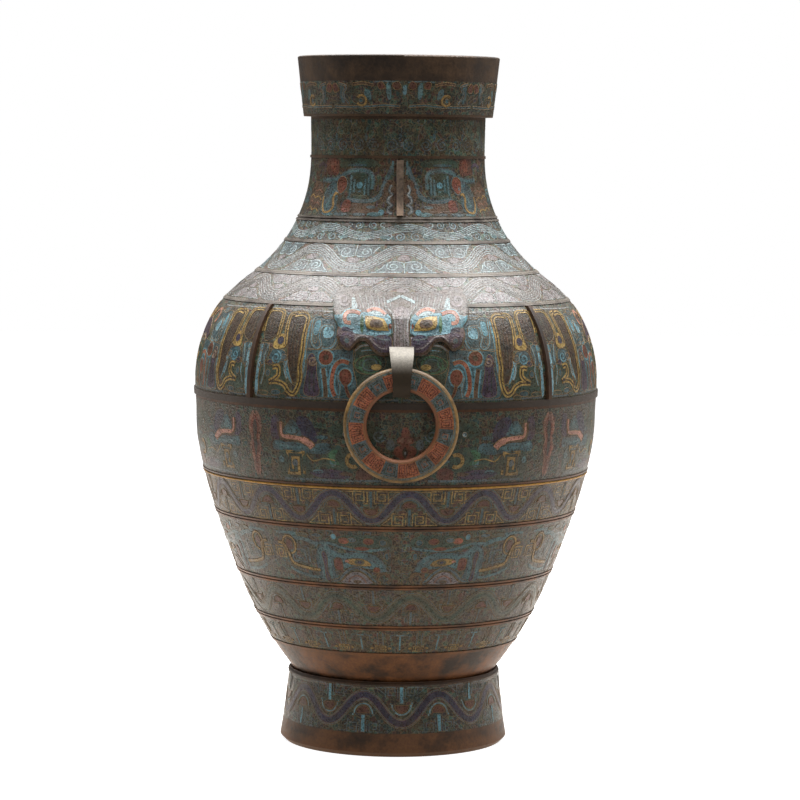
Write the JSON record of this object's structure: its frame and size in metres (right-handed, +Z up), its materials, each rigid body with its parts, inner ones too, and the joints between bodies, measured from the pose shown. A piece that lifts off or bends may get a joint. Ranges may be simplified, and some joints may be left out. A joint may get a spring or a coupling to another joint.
{
  "type": "hu vessel with ring handles",
  "caption": "Tall round-bellied bronze hu vessel with enamelled bands, animal masks and loose ring handles that hang in straps, open at the mouth and standing on a ring foot.",
  "frame": {"origin": "centre of the foot's resting plane, on the vessel's axis", "axes": "+Z up along the vessel's axis, -Y out of the front mask and ring, +X to the viewer's right when facing the front"},
  "size_m": [0.3611, 0.4166, 0.61],
  "materials": {
    "bronze": "cast bronze with a dark brown patina, worn to copper on raised edges",
    "strap_metal": "pale bronze strip, brushed and dulled",
    "ring_bronze": "bronze ring with worn, rounded edges",
    "ring_enamel": "brick-red champleve enamel with key-fret cells",
    "enamel": "dark green champleve enamel, ground flush and slightly pitted"
  },
  "bodies": {
    "vessel": {"foot_ring": "bronze", "base_plate": "bronze", "belly": "bronze", "shoulder": "bronze", "neck": "bronze", "mouth_collar": "bronze", "front_mask": "bronze", "back_mask": "bronze", "front_flange": "bronze", "back_flange": "bronze", "front_right_rib": "bronze", "front_left_rib": "bronze", "back_right_rib": "bronze", "back_left_rib": "bronze", "front_strap": "strap_metal", "back_strap": "strap_metal", "foot_wave_enamel": "enamel", "lappet_enamel": "enamel", "lower_wave_enamel": "enamel", "lower_dragon_enamel": "enamel", "belly_wave_enamel": "enamel", "belly_dragon_enamel": "enamel", "front_panel_enamel": "enamel", "right_panel_enamel": "enamel", "back_panel_enamel": "enamel", "left_panel_enamel": "enamel", "low_shoulder_enamel": "enamel", "mid_shoulder_enamel": "enamel", "high_shoulder_enamel": "enamel", "neck_dragon_enamel": "enamel", "neck_scroll_enamel": "enamel", "collar_enamel": "enamel"},
    "front_ring": {"front_ring": "ring_bronze", "front_ring_face_enamel": "ring_enamel", "front_ring_reverse_enamel": "ring_enamel"},
    "back_ring": {"back_ring": "ring_bronze", "back_ring_face_enamel": "ring_enamel", "back_ring_reverse_enamel": "ring_enamel"}
  },
  "joints": [
    {"name": "front_ring_swing", "type": "hinge", "parent": "vessel", "child": "front_ring", "pos_m": [0, -0.19313, 0.3376], "axis": [-1, 0, 0], "range_deg": [-10, 165]},
    {"name": "back_ring_swing", "type": "hinge", "parent": "vessel", "child": "back_ring", "pos_m": [0, 0.19313, 0.3376], "axis": [1, 0, 0], "range_deg": [-10, 165]}
  ]
}
